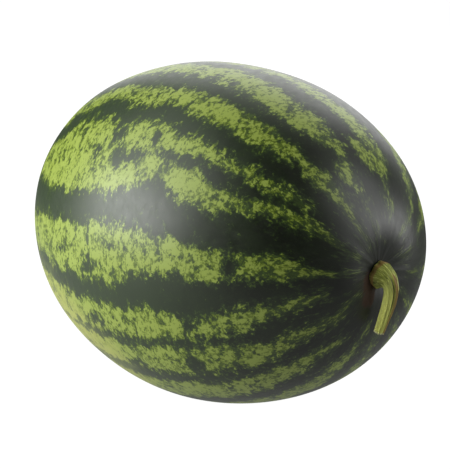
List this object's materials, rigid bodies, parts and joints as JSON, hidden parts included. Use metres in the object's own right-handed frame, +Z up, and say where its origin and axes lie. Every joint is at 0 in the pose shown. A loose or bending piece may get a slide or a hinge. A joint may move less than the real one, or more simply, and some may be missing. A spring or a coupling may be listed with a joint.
{
  "type": "watermelon",
  "caption": "Whole oval watermelon with dark and light green stripes and a short hooked cut stalk, lying on its side on a small flat spot.",
  "frame": {"origin": "on the small flat spot of the underside that the fruit rests on, straight below the middle of its long axis", "axes": "+X along the fruit's long axis towards the stalk, +Z up, +Y to the side that completes a right-handed frame"},
  "size_m": [0.3155, 0.23, 0.2285],
  "materials": {
    "rind": "smooth waxy rind, semi-gloss, dark green with ragged light green stripes",
    "stalk": "fresh green fibrous stalk, matt, ribbed along its length"
  },
  "bodies": {
    "root": {"fruit": "rind", "stalk": "stalk"}
  },
  "joints": []
}
